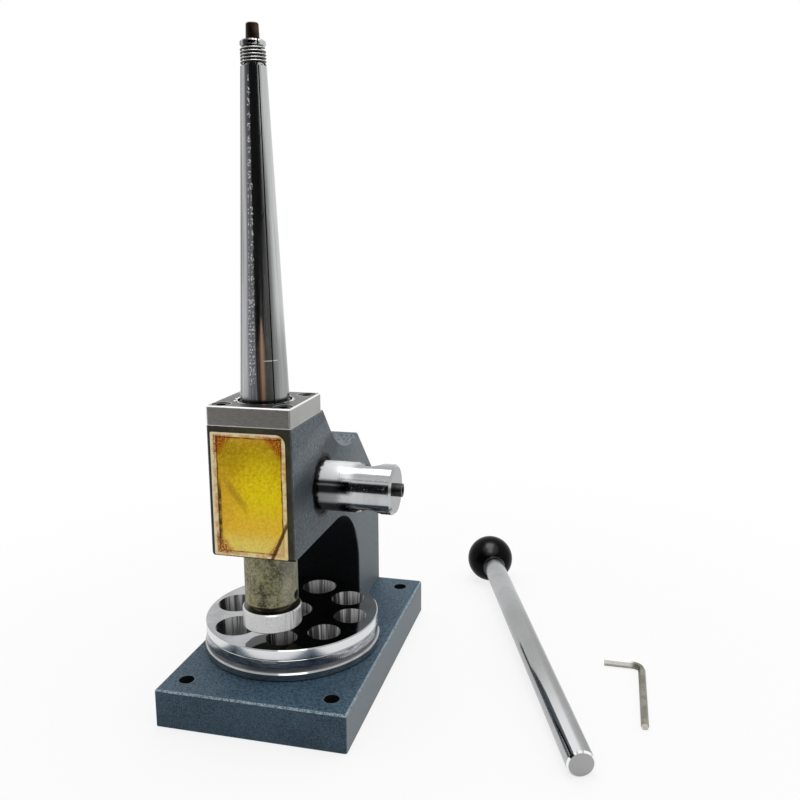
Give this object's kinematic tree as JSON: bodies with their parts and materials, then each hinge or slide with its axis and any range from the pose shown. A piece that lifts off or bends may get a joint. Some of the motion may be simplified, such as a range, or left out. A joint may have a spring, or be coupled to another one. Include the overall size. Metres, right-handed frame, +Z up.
{
  "type": "ring stretcher",
  "caption": "Bench ring stretcher and reducer: a cross shaft drives a rack ram that opens a split tapered mandrel above and pushes rings into a rotating die plate below.",
  "frame": {"origin": "middle of the four bench bolt holes, on the underside of the base plate", "axes": "+Z up along the mandrel, +X to the right where the cross shaft comes out, -Y to the front"},
  "size_m": [0.282, 0.2784, 0.3962],
  "materials": {
    "painted_iron": "blue-grey machine enamel on iron castings",
    "ground_steel": "ground, lightly oiled",
    "oiled_steel": "turned steel under a film of old oil",
    "polished_steel": "hard chrome over ground steel",
    "black_steel": "blackened steel fasteners",
    "spring_steel": "bright spring wire",
    "core_steel": "dark hardened steel",
    "bronze": "oil-soaked bearing bronze",
    "gilt_sheet": "gilt blank plate",
    "black_phenolic": "gloss black moulded ball",
    "nickel": "nickel-plated"
  },
  "bodies": {
    "root": {"base_plate": "painted_iron", "press_frame": "painted_iron", "column_bolts": "black_steel", "top_plate": "ground_steel", "top_plate_screws": "black_steel", "front_plate": "gilt_sheet", "shaft_bush_right": "bronze", "shaft_bush_left": "bronze", "mandrel_spring": "spring_steel", "die_table": "polished_steel", "die_table_screws": "black_steel", "pivot_sleeve": "bronze", "pivot_washer": "ground_steel", "pivot_bolt": "black_steel"},
    "ram": {"press_ram": "oiled_steel", "press_punch": "ground_steel", "punch_set_screw": "black_steel", "expander_core": "core_steel"},
    "shaft": {"pinion_shaft": "polished_steel", "shaft_end_washer": "ground_steel", "shaft_end_screw": "black_steel"},
    "lock_screw": {"handle_lock_screw": "black_steel"},
    "mandrel_front": {"mandrel_front": "polished_steel"},
    "mandrel_right": {"mandrel_right": "polished_steel"},
    "mandrel_back": {"mandrel_back": "polished_steel"},
    "mandrel_left": {"mandrel_left": "polished_steel"},
    "turret": {"die_plate": "polished_steel"},
    "handle": {"handle_rod": "polished_steel", "ball_knob": "black_phenolic", "knob_collar": "polished_steel"},
    "key": {"hex_key": "nickel"}
  },
  "joints": [
    {"name": "ram_slide", "type": "slide", "parent": "root", "child": "ram", "axis": [0, 0, 1], "range_m": [-0.0103, 0.0169]},
    {"name": "shaft_turn", "type": "hinge", "parent": "root", "child": "shaft", "pos_m": [0, -0.0291, 0.1342], "axis": [-1, 0, 0], "range_deg": [-45.8, 74.9]},
    {"name": "mandrel_front_slide", "type": "slide", "parent": "root", "child": "mandrel_front", "axis": [0, -1, 0], "range_m": [-0.0004, 0.00065]},
    {"name": "mandrel_right_slide", "type": "slide", "parent": "root", "child": "mandrel_right", "axis": [1, 0, 0], "range_m": [-0.0004, 0.00065]},
    {"name": "mandrel_back_slide", "type": "slide", "parent": "root", "child": "mandrel_back", "axis": [0, 1, 0], "range_m": [-0.0004, 0.00065]},
    {"name": "mandrel_left_slide", "type": "slide", "parent": "root", "child": "mandrel_left", "axis": [-1, 0, 0], "range_m": [-0.0004, 0.00065]},
    {"name": "turret_turn", "type": "hinge", "parent": "root", "child": "turret", "pos_m": [-0.0026, -0.0153, 0.037], "axis": [0, 0, 1], "continuous": true},
    {"name": "lock_screw_travel", "type": "slide", "parent": "shaft", "child": "lock_screw", "axis": [1, 0, 0], "range_m": [-0.003, 0.002]},
    {"name": "handle_lift", "type": "slide", "parent": "root", "child": "handle", "axis": [0, 0, 1], "range_m": [0, 0.2]},
    {"name": "key_lift", "type": "slide", "parent": "root", "child": "key", "axis": [0, 0, 1], "range_m": [0, 0.2]}
  ],
  "couplings": [
    {"joint": "shaft_turn", "follows": "ram_slide", "rad_per_m": 76.923},
    {"joint": "mandrel_front_slide", "follows": "ram_slide", "ratio": 0.037},
    {"joint": "mandrel_right_slide", "follows": "ram_slide", "ratio": 0.037},
    {"joint": "mandrel_back_slide", "follows": "ram_slide", "ratio": 0.037},
    {"joint": "mandrel_left_slide", "follows": "ram_slide", "ratio": 0.037}
  ]
}
